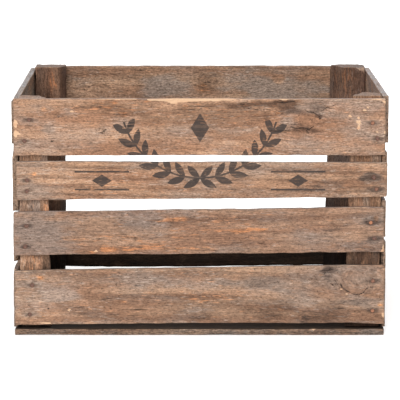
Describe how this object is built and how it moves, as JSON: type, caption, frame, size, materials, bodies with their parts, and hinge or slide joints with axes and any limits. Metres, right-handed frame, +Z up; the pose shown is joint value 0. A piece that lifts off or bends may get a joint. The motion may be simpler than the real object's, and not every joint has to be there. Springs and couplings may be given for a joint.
{
  "type": "wooden apple crate",
  "caption": "Weathered slatted softwood crate with an open top: boards nailed round corner posts on a slatted floor, for picking, carrying and stacking fruit.",
  "frame": {"origin": "on the ground, under the middle of the crate", "axes": "+X along the length, to the right as the front wall is faced; +Y from the front wall to the back wall; +Z up"},
  "size_m": [0.5, 0.4, 0.323],
  "materials": {
    "board": "weathered, rough-sawn, bare",
    "inner_board": "weathered, rough-sawn, bare",
    "end_board": "weathered, rough-sawn, bare, greyed",
    "post": "weathered, cleft and sawn, bare",
    "floor": "weathered, rough-sawn, soiled",
    "nail": "rusted"
  },
  "bodies": {
    "root": {"front_board_1": "board", "front_board_2": "board", "front_board_3": "board", "front_board_4": "board", "back_board_1": "inner_board", "back_board_2": "inner_board", "back_board_3": "inner_board", "back_board_4": "inner_board", "left_board_1": "end_board", "left_board_2": "end_board", "left_board_3": "end_board", "left_board_4": "end_board", "right_board_1": "end_board", "right_board_2": "end_board", "right_board_3": "end_board", "right_board_4": "end_board", "floor_board_1": "floor", "floor_board_2": "floor", "floor_board_3": "floor", "floor_board_4": "floor", "floor_board_5": "floor", "post_front_left": "post", "post_front_right": "post", "post_back_left": "post", "post_back_right": "post", "nail_front_board_1_1": "nail", "nail_front_board_1_2": "nail", "nail_front_board_1_3": "nail", "nail_front_board_1_4": "nail", "nail_front_board_2_1": "nail", "nail_front_board_2_2": "nail", "nail_front_board_2_3": "nail", "nail_front_board_2_4": "nail", "nail_front_board_3_1": "nail", "nail_front_board_3_2": "nail", "nail_front_board_3_3": "nail", "nail_front_board_3_4": "nail", "nail_front_board_4_1": "nail", "nail_front_board_4_2": "nail", "nail_front_board_4_3": "nail", "nail_front_board_4_4": "nail", "nail_back_board_1_1": "nail", "nail_back_board_1_2": "nail", "nail_back_board_1_3": "nail", "nail_back_board_1_4": "nail", "nail_back_board_2_1": "nail", "nail_back_board_2_2": "nail", "nail_back_board_2_3": "nail", "nail_back_board_2_4": "nail", "nail_back_board_3_1": "nail", "nail_back_board_3_2": "nail", "nail_back_board_3_3": "nail", "nail_back_board_3_4": "nail", "nail_back_board_4_1": "nail", "nail_back_board_4_2": "nail", "nail_back_board_4_3": "nail", "nail_back_board_4_4": "nail"}
  },
  "joints": []
}
